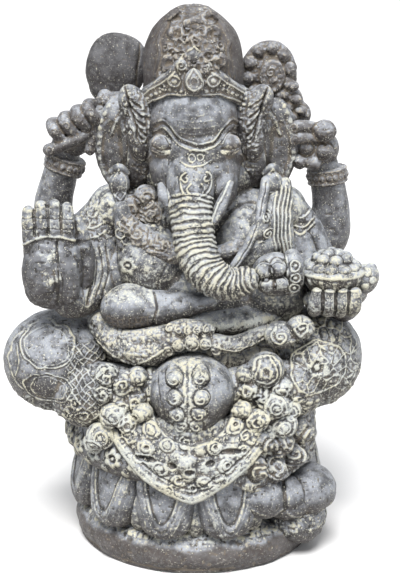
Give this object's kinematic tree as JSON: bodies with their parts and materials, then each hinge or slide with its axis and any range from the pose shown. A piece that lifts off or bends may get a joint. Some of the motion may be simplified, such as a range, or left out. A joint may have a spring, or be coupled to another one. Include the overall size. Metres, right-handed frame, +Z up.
{
  "type": "ganesha idol",
  "caption": "Carved dark stone seated Ganesha with raised palm, bowl of sweets, axe and rosary on a round lotus seat; stands free on its flat base as a shrine figure.",
  "frame": {"origin": "middle of the flat underside of the foot slab", "axes": "+Z up, the figure faces -Y, its right hand is on the -X side"},
  "size_m": [0.3857, 0.27, 0.556],
  "materials": {
    "polished_stone": "rubbed dark volcanic stone, fine pale speckle",
    "carved_stone": "carved relief in the same stone, dusty cream wash on its raised lines"
  },
  "bodies": {
    "root": {"axe_blade": "polished_stone", "axe_shaft": "polished_stone", "belly": "polished_stone", "belly_fold": "polished_stone", "belt": "carved_stone", "chest": "polished_stone", "crown": "carved_stone", "diadem": "carved_stone", "foot_slab": "carved_stone", "front_apron": "carved_stone", "head": "polished_stone", "hips": "carved_stone", "left_ear": "polished_stone", "left_earring": "carved_stone", "left_foot": "polished_stone", "left_front_arm": "polished_stone", "left_front_hand": "polished_stone", "left_front_wrist": "carved_stone", "left_hip_drape": "carved_stone", "left_leg": "carved_stone", "left_rear_arm": "polished_stone", "left_rear_bracelet": "carved_stone", "left_rear_hand": "polished_stone", "left_shin": "carved_stone", "left_tusk": "polished_stone", "lotus_core": "polished_stone", "necklace": "carved_stone", "petal_01": "polished_stone", "petal_02": "polished_stone", "petal_03": "polished_stone", "petal_04": "polished_stone", "petal_05": "polished_stone", "petal_06": "polished_stone", "petal_07": "polished_stone", "petal_08": "polished_stone", "petal_09": "polished_stone", "petal_10": "polished_stone", "petal_11": "polished_stone", "petal_12": "polished_stone", "right_ear": "polished_stone", "right_earring": "carved_stone", "right_foot": "polished_stone", "right_front_arm": "polished_stone", "right_front_hand": "polished_stone", "right_leg": "carved_stone", "right_rear_arm": "polished_stone", "right_rear_bracelet": "carved_stone", "right_rear_hand": "polished_stone", "right_shin": "carved_stone", "right_tusk": "polished_stone", "rosary": "carved_stone", "sacred_cord": "polished_stone", "sash_roll": "polished_stone", "seat_cushion": "carved_stone", "shoulder_sash": "carved_stone", "sweets": "carved_stone", "sweets_bowl": "polished_stone", "trunk": "polished_stone"}
  },
  "joints": []
}
